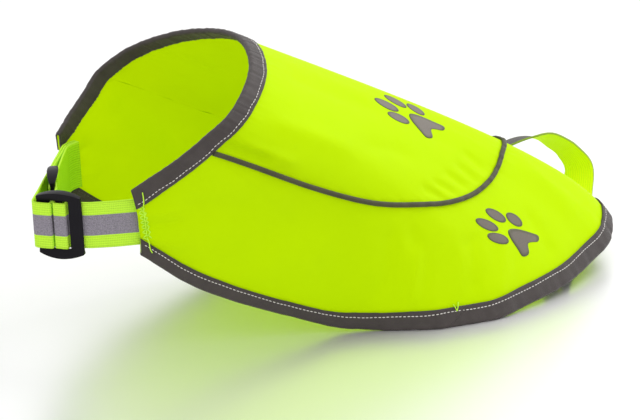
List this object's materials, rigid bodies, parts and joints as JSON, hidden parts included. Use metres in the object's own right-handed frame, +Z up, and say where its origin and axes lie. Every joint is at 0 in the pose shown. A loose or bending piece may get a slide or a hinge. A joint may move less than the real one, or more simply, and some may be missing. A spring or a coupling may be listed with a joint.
{
  "type": "dog safety vest",
  "caption": "High-visibility dog vest of thin cloth with bound neck and hem, reflective prints, chest webbing with sliders and a belly strap, filled out and standing.",
  "frame": {"origin": "middle of the footprint, on the surface that the hem stands on", "axes": "+Z up, +X from the neck to the tail end, -Y on the near side in the picture"},
  "size_m": [0.423, 0.1972, 0.1777],
  "materials": {
    "cloth": "smooth fluorescent yellow-green polyester",
    "binding": "dark grey woven reflective tape",
    "piping": "dark reflective piping",
    "webbing": "ribbed lime webbing with a grey reflective stripe",
    "belly_webbing": "lime elastic with a reflective outer face",
    "plastic": "black moulded, satin",
    "print": "grey reflective transfer with darker rims"
  },
  "bodies": {
    "root": {"back_panel": "cloth", "side_panel": "cloth", "neck_binding": "binding", "hem_binding": "binding", "piping": "piping", "strap_near": "webbing", "strap_front": "webbing", "strap_far": "webbing", "belly_strap": "belly_webbing", "slider_near": "plastic", "slider_far": "plastic", "paw_back_near_toe_a": "print", "paw_back_near_toe_b": "print", "paw_back_near_toe_c": "print", "paw_back_near_toe_d": "print", "paw_back_near_main_pad": "print", "paw_back_far_toe_a": "print", "paw_back_far_toe_b": "print", "paw_back_far_toe_c": "print", "paw_back_far_toe_d": "print", "paw_back_far_main_pad": "print", "paw_flank_near_toe_a": "print", "paw_flank_near_toe_b": "print", "paw_flank_near_toe_c": "print", "paw_flank_near_toe_d": "print", "paw_flank_near_main_pad": "print", "paw_flank_far_toe_a": "print", "paw_flank_far_toe_b": "print", "paw_flank_far_toe_c": "print", "paw_flank_far_toe_d": "print", "paw_flank_far_main_pad": "print"}
  },
  "joints": []
}
